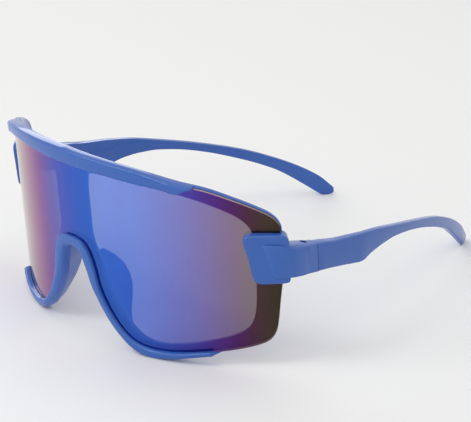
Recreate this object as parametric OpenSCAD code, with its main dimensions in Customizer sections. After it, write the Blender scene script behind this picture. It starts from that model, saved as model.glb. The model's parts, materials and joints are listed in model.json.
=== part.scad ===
// Wraparound shield sunglasses: one moulded front with a brow bar, nose arch and
// end pieces, one cylindrical shield lens, two folding temples and two hinge screws.
// Everything is drawn with the lens upright, facing -Y, its apex on the Z axis at y = 0;
// stand() then leans it so that the lower lip and the temple tips share the table plane.

/* [Lens] */
// Radius of the lens front face
lens_r = 92.5; // [84:0.5:100]
// Lens thickness
lens_t = 1.4; // [1:0.1:2]
// Length of the lens front face from the middle to the end, along the wrap
lens_half_len = 82.5; // [78:0.5:87]
// Height of the top of the nose arch
arch_z = 37.8; // [35:0.1:41]
// Clearance between the lens and the front
lens_gap = 0.08; // [0.05:0.01:0.15]

/* [Front] */
// Wall of the front behind the lens
wall_t = 1.5; // [1.2:0.1:2]
// Height of the brow bar and lower lip in front of the lens
lip_h = 1.3; // [0.9:0.1:1.8]
// Width of the front that shows above the lens edge
edge_w = 0.4; // [0.35:0.05:0.8]
// Distance by which the front stays inside the lens edge below the end pieces
edge_in = 0.35; // [0.3:0.05:0.6]
// Overlap of the lips over the lens edge
lens_tuck = 1.5; // [1:0.1:2]
// Height of the brow bar's top edge at the middle
brow_top = 73.2; // [68:0.1:78]
// Height of the brow bar at the middle
brow_h = 5.4; // [4.6:0.1:6.2]
// Rise of the brow bar over the lens top edge at the middle
brow_cover = 3; // [2.5:0.1:3.5]
// Half length of the brow bar, along the wrap
brow_half = 53.5; // [50:0.5:57]
// Half width of the bridge between the two apertures
bridge_half = 8.8; // [8:0.1:10]
// Half length of the lower lip, along the wrap
lip_half = 60.8; // [56:0.2:66]
// Width of the lower lip outside the lens edge at mid length
lip_w = 1.5; // [1.2:0.1:1.9]

/* [End pieces] */
// Thickness of the end piece flange in front of the lens
flange_t = 2.2; // [1.8:0.1:2.6]
// Reach of the flange from the lens end towards the middle
flange_in = 12.8; // [11.5:0.1:14]
// Reach of the flange past the lens end
flange_out = 2.6; // [2.2:0.1:3]
// Top of the flange above the hinge height
flange_up = 12.8; // [11.5:0.1:14]
// Bottom of the flange below the hinge height
flange_down = 5.7; // [5:0.1:6.5]
// Step of the raised panel on the flange
panel_t = 0.8; // [0.5:0.1:1.1]
// Thickness of the arm at the hinge
arm_t = 4.8; // [4.4:0.1:5.2]
// Height of the arm
arm_h = 12.2; // [11:0.1:13]
// Fall of the arm for each millimetre backwards
arm_slope = 0.235; // [0.15:0.005:0.3]

/* [Nose pads] */
// Wall of the nose pads
pad_wall = 1.8; // [1.4:0.1:2.2]
// Depth of the nose pads behind the lens apex
pad_depth = 13.8; // [12:0.1:15]
// Lean of the nose pads from straight back, in degrees
pad_flare = 21; // [15:1:25]

/* [Hinges] */
// Height of the middle of the hinge
hinge_z = 36.7; // [34:0.1:39]
// Distance of the hinge axis behind the lens end
hinge_back = 11; // [10.5:0.1:12]
// Distance of the hinge axis inside the lens end
hinge_in = 0.8; // [0.4:0.1:1.2]
// Distance from the hinge axis to the outer face of the arm
hinge_cover = 3; // [2.8:0.1:3.3]
// Radius of the arm's rounded end
knuckle_r = 4.9; // [4.7:0.1:5.1]
// Radius of the temple tongue
tongue_r = 2; // [1.8:0.1:2.1]
// Height of the temple tongue
tongue_h = 5.6; // [5:0.1:6]
// Gap between the arm and the temple
joint_gap = 0.15; // [0.1:0.01:0.25]
// Screw shank diameter
screw_d = 1.5; // [1.3:0.1:1.6]
// Screw head diameter
screw_head_d = 2.5; // [2.3:0.1:2.7]
// Screw head height
screw_head_h = 0.8; // [0.6:0.1:1]
// Radial clearance of the screw in its bores
screw_gap = 0.03; // [0.02:0.01:0.05]

/* [Temples] */
// Length of the temple from the hinge axis back to the tip
temple_len = 122.2; // [112:0.2:132]
// Thickness of the temple at mid length
temple_t = 2.9; // [2.5:0.1:3.4]
// Chamfer along the temple's outer top edge
temple_chamfer = 1; // [0.6:0.1:1.2]

/* [Hidden] */
$fn = 96;

frame_blue = [0.20, 0.35, 0.68];
lens_tint = [0.35, 0.40, 0.70];
steel = [0.70, 0.70, 0.72];

past = 5;                                 // how far cutting shapes run past what they cut
seat_r = lens_r - lens_t - lens_gap;      // front face of the wall behind the lens
back_r = seat_r - wall_t;                 // rear face of that wall
lip_r = lens_r + lip_h;                   // front face of brow bar and lower lip
flange_r = lens_r + flange_t;             // front face of the end piece flange
lens_top = brow_top - brow_cover;         // top edge of the lens at the middle
brow_low = brow_top - brow_h;             // lower edge of the brow bar at the middle

// degrees of wrap for a length along the lens face
function turn(length) = length / lens_r * 180 / PI;
lens_angle = turn(lens_half_len);
edge_x = lens_r * sin(lens_angle);        // the lens end, seen from above
edge_y = lens_r * (1 - cos(lens_angle));
deep = edge_y + 3 * past;                 // past the rear of the front's wall

// ---- curves ---------------------------------------------------------------

function unit(v) = v / norm(v);
function reversed(p) = [for (i = [len(p) - 1:-1:0]) p[i]];
function flipped(p) = [for (q = p) [-q[0], q[1]]];
// points given by length along the wrap and height, as seen square to the lens at a length
function wrapped(p, at = 0) = [for (q = p) [lens_r * sin(turn(q[0] - at)), q[1]]];
// whole line, left to right, from its right half that starts on the middle plane
function both_halves(p) = concat(reversed(flipped(p)), [for (i = [1:len(p) - 1]) p[i]]);
function tangent(p, i) =
  i == 0 ? unit(p[1] - p[0])
  : i == len(p) - 1 ? unit(p[i] - p[i - 1])
  : unit(p[i + 1] - p[i - 1]);
// cubic through two points with unit tangents, scaled by the chord
function span(a, b, ta, tb, t) =
  let (c = norm(b - a))
  a * (2 * t * t * t - 3 * t * t + 1) + b * (3 * t * t - 2 * t * t * t)
  + ta * c * (t * t * t - 2 * t * t + t) + tb * c * (t * t * t - t * t);
// smooth open line through points, n steps for each span
function through(p, n) = concat(
  [for (i = [0:len(p) - 2], k = [0:n - 1])
    span(p[i], p[i + 1], tangent(p, i), tangent(p, i + 1), k / n)],
  [p[len(p) - 1]]
);
// smooth closed line through points
function loop(p, n) =
  let (m = len(p))
  [for (i = [0:m - 1], k = [0:n - 1])
    span(p[i], p[(i + 1) % m],
      unit(p[(i + 1) % m] - p[(i + m - 1) % m]),
      unit(p[(i + 2) % m] - p[i]), k / n)];
function left_of(v) = [-v[1], v[0]];
// open line pushed to its left by a distance that depends on x, or on the height
function push_line(p, table, by_height = false) =
  [for (i = [0:len(p) - 1])
    p[i] + left_of(tangent(p, i)) * lookup(abs(p[i][by_height ? 1 : 0]), table)];

// ---- outlines of the front, right half from the top middle, clockwise ---------

lens_upper = [
  [0, lens_top], [28.5, lens_top - 1], [lens_half_len - 27, lens_top - 4.8],
  [lens_half_len - 15, lens_top - 8.9], [lens_half_len - 5.5, lens_top - 13.4],
  [lens_half_len - 1.9, lens_top - 16], [lens_half_len - 0.2, lens_top - 18.6],
  [lens_half_len + 0.8, lens_top - 22.2]
];
// the end, past which the wrap itself stops, and the lower corner
lens_lower_corner = [
  [lens_half_len + 1.2, hinge_z + 2], [lens_half_len + 0.2, hinge_z - 4],
  [lens_half_len - 1.2, 23.7], [lens_half_len - 2.1, 17], [lens_half_len - 3.2, 12],
  [lens_half_len - 5.7, 8.6], [lens_half_len - 11.1, 6.5]
];
lens_lowest = [39.7, 1.3];
lens_low = [
  [lip_half - 1.3, 4.2], lens_lowest, [27.9, 2.2], [19.6, 7.8],
  [11.8, 19.7], [8.6, arch_z - 6.3], [5.4, arch_z - 1.2]
];
arch = [0, arch_z];   // lens edge at the middle of the nose arch

// The lens outline is cut in three goes, which cross at its top middle and lowest points:
// each end square to the lens near that end, and the arch straight back.
square_at = lens_half_len - 16;
end_line = through(wrapped(concat(
  [[-square_at / 2, lens_top + past]], lens_upper, lens_lower_corner,
  [lens_low[0], lens_lowest - [1, 0.3], lens_lowest - [10, 2.2], lens_lowest - [20, past]]
), square_at), 4);
arch_line = through(both_halves(wrapped(concat(
  [arch], [for (i = [len(lens_low) - 1:-1:1]) lens_low[i]],
  [lens_lowest + [10, -1.2], lens_lowest + [20, -past]]
))), 4);
// distance by which the cuts stand outside the lens edge, by height
function even(d) = [[0, d], [brow_top, d]];
// the wall shows outside the lens above the end pieces and hides behind it below them
function rim(inset) = [[hinge_z - 5, -edge_in - inset], [hinge_z + 11, edge_w - inset]];
far = 2 * lens_r;
function end_cut(reach) =
  concat(push_line(end_line, reach, true), [[-far, -3 * past], [-far, brow_top + 3 * past]]);
function arch_cut(reach) =
  concat(push_line(arch_line, even(-lookup(0, reach))), [[far, -3 * past], [far, brow_top + past],
    [-far, brow_top + past], [-far, -3 * past]]);

// lower edge alone, left to right, for the lip that carries the lens
low_edge = through(both_halves(wrapped(concat([arch], reversed(lens_low)))), 5);
// width of the lip outside the lens edge, by distance from the middle
lip_out = [for (q = [[0, 1], [6, 1.5], [9, 2], [12, 1], [20, 0.7], [30, 0.3], [45, 0], [57, -0.2]])
  [q[0], lip_w + q[1]]];
lip_inner = push_line(low_edge, [[0, lens_tuck], [50, lens_tuck], [57, lens_tuck - 0.5]]);
lip_outer = push_line(low_edge, [for (w = lip_out) [w[0], -w[1]]]);
// round end between the last points of two lines
function half_turn(a, b) =
  let (
    p = a[len(a) - 1], q = b[len(b) - 1],
    c = (p + q) / 2, r = p - c
  )
  [for (k = [15:15:165]) c + r * cos(k) - left_of(r) * sin(k)];

brow_line_top = through(wrapped([
  [0, brow_top], [brow_half * 0.3, brow_top - 0.8], [brow_half * 0.6, brow_top - 2.4],
  [brow_half - 7.6, brow_top - 5], [brow_half, brow_top - 6.7]
]), 4);
brow_line_low = through(wrapped([
  [0, brow_low], [brow_half * 0.38, brow_low - 0.6], [brow_half * 0.7, brow_low - 1.9],
  [brow_half - 9.5, brow_low - 2.7], [brow_half - 7.5, brow_low - 3.3],
  [brow_half - 5.7, brow_low - 3.5], [brow_half - 3.9, brow_low - 2.9],
  [brow_half - 2.1, brow_low - 2.1], [brow_half, brow_low - 1.9]
]), 4);

// opening on the +X side, closed loop from the top inner corner, clockwise
aperture = loop(wrapped([
  [bridge_half + 2, lens_top - 5], [28.5, lens_top - 5.4], [lens_half_len - 34.3, lens_top - 7.9],
  [lens_half_len - 19.8, lens_top - 12.7], [lens_half_len - 11.5, lens_top - 18.2],
  [lens_half_len - 9, lens_top - 25.2], [lens_half_len - 9.3, 30], [lens_half_len - 10.4, 18],
  [lens_half_len - 13.5, 12.3], [lens_half_len - 23.6, 8.4], [43.6, 5.2], [32, 4.9], [24.8, 9.5],
  [17.6, 21], [14, arch_z - 6.8], [bridge_half + 0.6, arch_z + 1.2], [bridge_half, arch_z + 12],
  [bridge_half + 0.3, lens_top - 8.2]
]), 4);

// end piece outlines, by length from the lens end and height from the hinge
flange = loop([
  [-flange_in, flange_up - 1.7], [1.7 - flange_in, flange_up], [-5.4, flange_up],
  [-0.3, flange_up - 0.5], [flange_out - 1.1, flange_up - 1.1], [flange_out - 0.1, flange_up - 2.6],
  [flange_out, 3], [flange_out - 0.1, 1.6 - flange_down], [flange_out - 0.9, 0.1 - flange_down],
  [-3, -flange_down], [4.2 - flange_in, 0.5 - flange_down], [2.7 - flange_in, 2.5 - flange_down],
  [1.4 - flange_in, 4]
], 3);
panel = [
  [-6.2, arm_h / 2 + 3.6], [-7, arm_h / 2 + 2.6], [-5.4, 5], [-4, -0.4], [-3.4, 3.5 - arm_h / 2],
  [flange_out - 0.5, 2.8 - arm_h / 2], [flange_out - 0.5, arm_h / 2 + 3]
];

// ---- solids ---------------------------------------------------------------

module stand()
  translate([0, -stand_y, -stand_z]) rotate([stand_tilt, 0, 0]) children();

// slice of the lens cylinder between two radii
module shell(r0, r1, half_angle)
  translate([0, lens_r, 0]) rotate([0, 0, -90 - half_angle])
    rotate_extrude(angle = 2 * half_angle, $fn = 180)
      translate([r0, -past]) square([r1 - r0, brow_top + 2 * past]);

// outline in x and z carried along y
module prism(y0, y1)
  translate([0, y1, 0]) rotate([90, 0, 0]) linear_extrude(y1 - y0) children();

// profile in y and z carried along x
module side_prism(x0, x1)
  translate([x0, 0, 0]) rotate([90, 0, 90]) linear_extrude(x1 - x0) children();

// the place on the lens at a length along its wrap, y straight through the lens
module square_to_lens(length)
  translate([0, lens_r, 0]) rotate([0, 0, turn(length)]) translate([0, -lens_r, 0]) children();

module both_sides() {
  children();
  mirror([1, 0, 0]) children();
}

// what lies inside the lens outline, pushed outwards by the distances in reach
module in_outline(reach)
  intersection() {
    prism(-past, deep) polygon(arch_cut(reach));
    square_to_lens(square_at) prism(-past, far) polygon(end_cut(reach));
    mirror([1, 0, 0]) square_to_lens(square_at) prism(-past, far) polygon(end_cut(reach));
  }

module lens_solid(gap)
  intersection() {
    shell(lens_r - lens_t - gap, lens_r + gap, lens_angle + turn(gap));
    in_outline(even(gap));
  }

rim_step = 0.5;    // the rim beside the lens edge stands this far above the lens seat
relief_t = 0.6;    // the rear layer of the wall is this thick
relief_w = 0.9;    // and its edge is set in by this much
brow_step = 0.8;   // the brow bar's rear face stands this far in front of the wall's
lip_step = 0.3;    // the same for the lower lip and the end pieces

module wall_layer(r0, r1, inset)
  intersection() {
    shell(r0, r1, lens_angle + turn(edge_w - inset));
    in_outline(rim(inset));
  }

// wall behind the lens, open at both eyes
module back_wall()
  difference() {
    union() {
      wall_layer(back_r, seat_r, relief_w);
      wall_layer(back_r + relief_t, seat_r + rim_step, 0);
    }
    both_sides() prism(-past, deep) polygon(aperture);
  }

module brow_bar()
  intersection() {
    shell(back_r + brow_step, lip_r, turn(brow_half + past));
    prism(-past, deep)
      polygon(concat(both_halves(brow_line_top), reversed(both_halves(brow_line_low))));
  }

module lower_lip()
  intersection() {
    shell(back_r + lip_step, lip_r, turn(lip_half + past));
    prism(-past, deep) polygon(concat(lip_inner, half_turn(lip_inner, lip_outer), reversed(lip_outer),
      flipped(reversed(half_turn(lip_inner, lip_outer)))));
  }

module end_flange() {
  // plate in front of the lens, with an edge that closes the groove beside it
  intersection() {
    difference() {
      shell(back_r + lip_step, flange_r, lens_angle + turn(flange_out + past));
      shell(back_r - past, lens_r - lip_step, lens_angle - turn(2 * edge_w));
    }
    square_to_lens(lens_half_len) translate([0, 0, hinge_z]) prism(-past, past) polygon(flange);
  }
  intersection() {
    shell(flange_r - lip_step, flange_r + panel_t, lens_angle + turn(flange_out + past));
    square_to_lens(lens_half_len) translate([0, 0, hinge_z]) prism(-past, past) polygon(panel);
  }
}

// everything at the hinge is drawn from the middle of its axis
module at_hinge()
  translate([edge_x - hinge_in, edge_y + hinge_back, hinge_z]) children();

// the arm that carries the hinge, seen from above
arm_in = hinge_cover - arm_t;             // inner face of the arm at the hinge axis
panel_face = flange_t + panel_t;
// from lengths along and out of the lens at its end to places beside the hinge axis
function beside_end(along, out) = [
  along * cos(lens_angle) + out * sin(lens_angle) + hinge_in,
  along * sin(lens_angle) - out * cos(lens_angle) - hinge_back
];
// the arm grows out of the panel's face and bends back along the temple
arm_outer_line = through([
  beside_end(0.3, panel_face - 0.25), beside_end(flange_out - 0.7, panel_face - 0.12),
  [hinge_cover + 2.1, 2.1 - hinge_back], [hinge_cover + 1.8, -knuckle_r], [hinge_cover + 0.9, -1],
  [hinge_cover, knuckle_r - 0.9], [hinge_cover - 0.2, knuckle_r + 1]
], 4);
arm_plan = concat(arm_outer_line, [
  [arm_in - 0.3, knuckle_r + 1], [arm_in, 0], [arm_in - 0.1, 1 - knuckle_r],
  [hinge_in - 1.4, 3.2 - hinge_back]
]);
// the arm seen from the side, falling backwards
function arm_edge(y, z) = [y, z - y * arm_slope];
arm_side = [
  arm_edge(-hinge_back - past, arm_h / 2), arm_edge(2 * past, arm_h / 2),
  arm_edge(2 * past, -arm_h / 2), arm_edge(-hinge_back - past, -arm_h / 2)
];

module arm()
  difference() {
    intersection() {
      translate([0, 0, -arm_h]) linear_extrude(2 * arm_h) polygon(arm_plan);
      side_prism(arm_in - past, hinge_cover + past) polygon(arm_side);
      union() {
        translate([arm_in - past, -hinge_back - past, -arm_h])
          cube([arm_t + 2 * past, hinge_back + past, 2 * arm_h]);
        translate([0, 0, -arm_h]) cylinder(r = knuckle_r, h = 2 * arm_h);
      }
    }
    // slot for the temple tongue, open to the rear and to the inside
    translate([-2 * past, -tongue_r - joint_gap, -tongue_h / 2 - joint_gap])
      cube([2 * past + tongue_r + joint_gap, 3 * past, tongue_h + 2 * joint_gap]);
    screw_space(screw_gap);
  }

head_z = arm_h / 2 - 0.4;                 // top of the screw head, sunk in the arm
screw_end = 0.7 - arm_h / 2;              // lower end of the screw
module screw_space(gap) {
  translate([0, 0, screw_end - gap])
    cylinder(d = screw_d + 2 * gap, h = head_z - screw_end);
  translate([0, 0, head_z - screw_head_h - gap])
    cylinder(d = screw_head_d + 2 * gap, h = gap > 0 ? past : screw_head_h);
}

// nose pad: a band along the arch that flares outwards as it runs back
pad_root_y = 3;                     // depth at which the band has its front view shape
pad_line = through([
  [20.1, 4.2], [17.2, 6.9], [14.6, 10.7], [12.3, 14.7], [10.5, 18.7],
  [8.8, 22.7], [7, 26.7], [5.8, 30.7], [5.4, 33.8]
], 3);
pad_side = concat([[2.2, 34.4], [4.4, 3.9]], through([
  [pad_depth * 0.45, 3.9], [pad_depth * 0.58, 6.7], [pad_depth * 0.7, 10.7],
  [pad_depth * 0.85, 14.7], [pad_depth * 0.96, 18.7], [pad_depth, 22.7],
  [pad_depth * 0.96, 26.7], [pad_depth * 0.78, 30.7], [pad_depth * 0.5, 34.4]
], 3));
module nose_pad()
  intersection() {
    translate([0, pad_root_y, 0]) rotate([0, 0, -pad_flare]) prism(-pad_depth, 2 * pad_depth)
      polygon([for (p = concat(pad_line,
          reversed(push_line(pad_line, [[0, -pad_wall], [30, -pad_wall]]))))
        [p[0] * cos(pad_flare), p[1]]]);
    side_prism(0, 3 * pad_depth) polygon(pad_side);
  }

module front_frame()
  color(frame_blue) stand()
    difference() {
      union() {
        back_wall();
        brow_bar();
        lower_lip();
        both_sides() {
          end_flange();
          at_hinge() arm();
          nose_pad();
        }
      }
      lens_solid(lens_gap);
    }

module shield_lens()
  color(lens_tint) stand() lens_solid(0);

// ---- temple ------------------------------------------------------------------

// lines of the temple, each by share of its length, measured from the hinge
// outer face, seen from above
temple_plan = through([
  [0, hinge_cover + 0.2], [0.136, hinge_cover - 0.9], [0.25, 0.7], [0.414, -3.8],
  [0.57, -9.8], [0.777, -20], [0.934, -29.2], [1.003, -33.6]
], 6);
// top edge and lower edge, seen from the side
temple_top_line = through([
  [-0.003, arm_h / 2], [0.046, 4.9], [0.12, 2.2], [0.218, -0.8], [0.316, -4.1], [0.414, -7.7],
  [0.545, -12.9], [0.692, -20], [0.799, -26.3], [0.889, -32.8], [0.954, -38.9],
  [0.987, -43.5], [1, -46.3]
], 6);
temple_low = [
  [-0.003, 0.1 - arm_h / 2], [0.12, -9.3], [0.185, -11.3], [0.218, -12.3], [0.234, -12.4],
  [0.25, -11.9], [0.283, -11.3], [0.332, -11.1], [0.414, -12], [0.545, -16.4], [0.692, -24.3],
  [0.799, -32.4], [0.856, -39.2], [0.905, -45.3], [0.938, -47.6], [0.962, -48], [0.984, -48.05],
  [1, -47.3]
];
temple_low_line = through(temple_low, 6);
temple_thick = [
  [0, arm_t], [0.054, arm_t - 0.2], [0.136, temple_t + 0.8], [0.25, temple_t], [0.857, temple_t],
  [1, temple_t - 0.6]
];
temple_stations = concat(
  [0.005], [for (s = [0.03:0.03:0.18]) s], [for (s = [0.2:0.01:0.27]) s],
  [for (s = [0.29:0.04:0.81]) s], [for (s = [0.84:0.02:0.96]) s], [0.974, 0.986, 0.998]
);

function temple_ring(s) =
  let (
    top = lookup(s, temple_top_line),
    low = lookup(s, temple_low_line),
    near = 0.016,
    lean = (lookup(s + near, temple_plan) - lookup(s - near, temple_plan)) / (2 * near * temple_len),
    across = unit([-1, lean]),
    t = lookup(s, temple_thick),
    c = min(temple_chamfer, (top - low) * 0.25),
    r = min(0.6, (top - low) * 0.2)
  )
  [for (q = [
      [0, low + r], [0, top - c * 1.2], [c * 0.35, top - c * 0.45], [c, top], [t - r, top],
      [t, top - r], [t, low + r], [t - r, low], [r, low]
    ])
    [lookup(s, temple_plan) + across[0] * q[0], s * temple_len + across[1] * q[0], q[1]]];

module temple_body() {
  rings = [for (s = temple_stations) temple_ring(s)];
  m = len(rings[0]);
  k = len(rings);
  polyhedron(
    [for (ring = rings, p = ring) p],
    concat(
      [[for (i = [m - 1:-1:0]) i]],
      [for (j = [0:k - 2], i = [0:m - 1])
        [j * m + i, j * m + (i + 1) % m, (j + 1) * m + (i + 1) % m]],
      [for (j = [0:k - 2], i = [0:m - 1])
        [j * m + i, (j + 1) * m + (i + 1) % m, (j + 1) * m + i]],
      [[for (i = [0:m - 1]) (k - 1) * m + i]]
    )
  );
}

module temple()
  at_hinge() difference() {
    union() {
      difference() {
        temple_body();
        translate([0, 0, -arm_h]) cylinder(r = knuckle_r + joint_gap, h = 2 * arm_h);
      }
      translate([0, 0, -tongue_h / 2]) {
        cylinder(r = tongue_r, h = tongue_h);
        translate([-tongue_w / 2, 0, 0]) cube([tongue_w, knuckle_r + 1.2, tongue_h]);
      }
    }
    translate([0, 0, -arm_h]) cylinder(d = screw_d + 2 * screw_gap, h = 2 * arm_h);
  }
tongue_w = 3;      // width of the web behind the tongue

module temple_left() color(frame_blue) stand() temple();
module temple_right() color(frame_blue) stand() mirror([1, 0, 0]) temple();

module hinge_screw()
  color(steel)
    at_hinge() difference() {
      screw_space(0);
      translate([-screw_head_d, -0.2, head_z - 0.35]) cube([2 * screw_head_d, 0.4, screw_head_h]);
    }
module hinge_screw_left() stand() hinge_screw();
module hinge_screw_right() stand() mirror([1, 0, 0]) hinge_screw();

// what touches the table: the lowest point of the lip and the heel of the temple tips
lip_rest_z = min([for (p = lip_outer) p[1]]);
lip_rest_x = [for (p = lip_outer) if (p[1] == lip_rest_z) abs(p[0])][0];
lip_rest = [lens_r - sqrt(lip_r * lip_r - lip_rest_x * lip_rest_x), lip_rest_z];
function behind_lens(p) = [edge_y + hinge_back + p[0] * temple_len, hinge_z + p[1]];
tip_rest = behind_lens(temple_low[len(temple_low) - 3]);
tip_end = behind_lens(temple_low[len(temple_low) - 1]);
stand_tilt = atan2(lip_rest[1] - tip_rest[1], tip_rest[0] - lip_rest[0]);
stand_z = lip_rest[1] * cos(stand_tilt) + lip_rest[0] * sin(stand_tilt);
// middle of the depth, from the brow bar's front to the temple tips
stand_y = ((tip_end[0] - lip_h) * cos(stand_tilt) - (tip_end[1] + brow_top) * sin(stand_tilt)) / 2;
echo(stand_tilt, stand_y, stand_z, edge_x - hinge_in, edge_y + hinge_back);

front_frame();
shield_lens();
temple_left();
temple_right();
hinge_screw_left();
hinge_screw_right();
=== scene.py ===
import json
import math
import bmesh
import bpy
import numpy as np
from mathutils import Matrix, Vector


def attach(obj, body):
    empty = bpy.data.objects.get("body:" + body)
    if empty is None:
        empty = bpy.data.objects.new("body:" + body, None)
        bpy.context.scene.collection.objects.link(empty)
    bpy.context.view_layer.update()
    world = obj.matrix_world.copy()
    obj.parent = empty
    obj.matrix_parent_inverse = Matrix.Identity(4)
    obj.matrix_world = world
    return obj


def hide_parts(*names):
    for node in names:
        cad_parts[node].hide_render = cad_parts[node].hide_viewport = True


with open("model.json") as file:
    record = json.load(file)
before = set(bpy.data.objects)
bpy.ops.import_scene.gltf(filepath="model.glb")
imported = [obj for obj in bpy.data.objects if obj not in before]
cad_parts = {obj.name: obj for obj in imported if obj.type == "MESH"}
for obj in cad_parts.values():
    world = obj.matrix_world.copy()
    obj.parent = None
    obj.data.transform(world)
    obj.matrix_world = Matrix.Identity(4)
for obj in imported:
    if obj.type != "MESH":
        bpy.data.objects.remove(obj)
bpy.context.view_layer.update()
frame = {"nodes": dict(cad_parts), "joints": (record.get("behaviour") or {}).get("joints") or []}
mm = 0.001
print("frame loaded:", sorted(frame["nodes"]))

scene = bpy.context.scene
scene.view_settings.view_transform = "Standard"


class Sock:
    # a socket with arithmetic: each operator adds one Math node
    def __init__(self, maker, socket):
        self.maker, self.socket = maker, socket

    def calc(self, kind, *values):
        return self.maker.make("ShaderNodeMath", {"operation": kind}, dict(enumerate(values)))

    def __add__(self, other):
        return self.calc("ADD", self, other)

    def __radd__(self, other):
        return self.calc("ADD", other, self)

    def __sub__(self, other):
        return self.calc("SUBTRACT", self, other)

    def __rsub__(self, other):
        return self.calc("SUBTRACT", other, self)

    def __mul__(self, other):
        return self.calc("MULTIPLY", self, other)

    def __rmul__(self, other):
        return self.calc("MULTIPLY", other, self)

    def __truediv__(self, other):
        return self.calc("DIVIDE", self, other)

    def __rtruediv__(self, other):
        return self.calc("DIVIDE", other, self)

    def angleWith(self, other):
        return self.calc("ARCTAN2", self, other)

    def larger(self, other):
        return self.calc("MAXIMUM", self, other)

    def absolute(self):
        return self.calc("ABSOLUTE", self)

    def clamped(self):
        return self.maker.make("ShaderNodeClamp", {}, {0: self})


class Maker:
    # makes the nodes of one material, or of the world
    def __init__(self, name, world=False):
        self.owner = (bpy.data.worlds if world else bpy.data.materials).new(name)
        self.owner.use_nodes = True
        self.tree = self.owner.node_tree
        self.tree.nodes.clear()
        self.output = self.tree.nodes.new("ShaderNodeOutputWorld" if world else "ShaderNodeOutputMaterial")

    def make(self, kind, settings, inputs, out=0):
        # settings first, because they can change which sockets there are
        node = self.tree.nodes.new(kind)
        for key, value in settings.items():
            if key == "stops":
                ramp = node.color_ramp
                while len(ramp.elements) < len(value):
                    ramp.elements.new(0.5)
                for element, (place, colour) in zip(ramp.elements, value):
                    element.position, element.color = place, colour
            else:
                setattr(node, key, value)
        for key, value in inputs.items():
            if isinstance(value, Sock):
                self.tree.links.new(value.socket, node.inputs[key])
            else:
                node.inputs[key].default_value = value
        return Sock(self, node.outputs[out])

    def coords(self):
        return self.make("ShaderNodeTexCoord", {}, {}, "Object")

    def parts(self, vector):
        return [self.make("ShaderNodeSeparateXYZ", {}, {0: vector}, axis) for axis in range(3)]

    def noise(self, where, scale, detail):
        return self.make("ShaderNodeTexNoise", {}, {"Vector": where, "Scale": scale, "Detail": detail,
                                                    "Roughness": 0.55}, "Fac")

    def ramp(self, value, stops):
        return self.make("ShaderNodeValToRGB", {"stops": stops}, {"Fac": value}, "Color")

    def mix(self, share, a, b):
        return self.make("ShaderNodeMix", {"data_type": "RGBA"}, {0: share, 6: a, 7: b}, 2)

    def bump(self, height, strength, distance):
        return self.make("ShaderNodeBump", {}, {"Height": height, "Strength": strength,
                                                "Distance": distance}, "Normal")

    def plain(self, inputs):
        return self.make("ShaderNodeBsdfPrincipled", {}, inputs)

    def finish(self, shader):
        self.tree.links.new(shader.socket, self.output.inputs["Surface"])
        return self.owner


def linear(r, g, b):
    # screen colour from 0 to 255 to the shader's linear scale
    def one(v):
        v = v / 255
        return v / 12.92 if v <= 0.04045 else ((v + 0.055) / 1.055) ** 2.4
    return (one(r), one(g), one(b), 1)


fold = next(j for j in frame["joints"] if j["name"] == "temple_left_fold")
lean = math.atan2(-fold["axis"][1], fold["axis"][2])  # the glasses lean back on their lip and tips
# millimetres; the faces are given by their distance from the lens cylinder's axis
glasses = {"hinge": (71.1892, 45.4155, 36.7), "radius": 92.5, "half": 82.5, "lensThick": 1.4, "gap": 0.08,
           "lipFace": 93.8, "seat": 91.02, "wallBack": 89.52}
hinge = np.array(glasses["hinge"])


def standing(points):
    # millimetres beside the upright lens cylinder, turned by the lean about the hinge, to metres in the frame
    p = np.asarray(points, float) - hinge
    c, s = math.cos(lean), math.sin(lean)
    turned = np.stack([p[..., 0], p[..., 1] * c - p[..., 2] * s, p[..., 1] * s + p[..., 2] * c], -1)
    return turned * mm + np.array(fold["pos_m"])


lensAxis = [float(v) for v in standing((0, glasses["radius"], glasses["hinge"][2]))]


def beforeAxis(y, z):
    # how far a point lies in front of the lens cylinder's axis, which leans with the glasses
    return lensAxis[1] - (z - lensAxis[2]) * math.tan(lean) - y


plasticLook = {"deep": (44, 90, 172), "pale": (52, 101, 184), "cloud": 35.0, "grain": 900.0,
               "roughness": 0.12, "uneven": 0.08, "bump": 0.04, "depth": 0.0002, "ior": 1.5}


def bluePlastic():
    m, look = Maker("glossyBluePlastic"), plasticLook
    at = m.coords()
    cloud, grain = m.noise(at, look["cloud"], 2.0), m.noise(at, look["grain"], 4.0)
    return m.finish(m.plain({
        "Base Color": m.mix(cloud, linear(*look["deep"]), linear(*look["pale"])),
        "Roughness": look["roughness"] + (grain - 0.5) * look["uneven"],
        "IOR": look["ior"],
        "Normal": m.bump(grain, look["bump"], look["depth"]),
    }))


# the coating's colours by the share of the way from the middle of the lens to either end
lensLook = {"roughness": 0.05, "cover": 0.57, "cloud": 18.0, "uneven": 0.05}
coating = [(0.0, (66, 118, 228)), (0.22, (70, 124, 232)), (0.38, (74, 118, 228)), (0.5, (80, 101, 212)),
           (0.61, (90, 82, 192)), (0.7, (100, 63, 164)), (0.8, (103, 50, 118)), (0.87, (99, 60, 76)),
           (0.94, (86, 69, 52)), (1.0, (78, 67, 40))]
# its sheen where it is seen aslant: colours by how far it faces away, and the range over which it sets in
sheenLook = {"from": 0.39, "over": 0.28, "cover": 0.93}
sheen = [(0.4, (88, 100, 206)), (0.48, (102, 92, 188)), (0.56, (120, 84, 168)), (0.64, (142, 82, 154)),
         (0.72, (160, 102, 150)), (0.82, (174, 136, 148)), (0.92, (180, 162, 156))]


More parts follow.
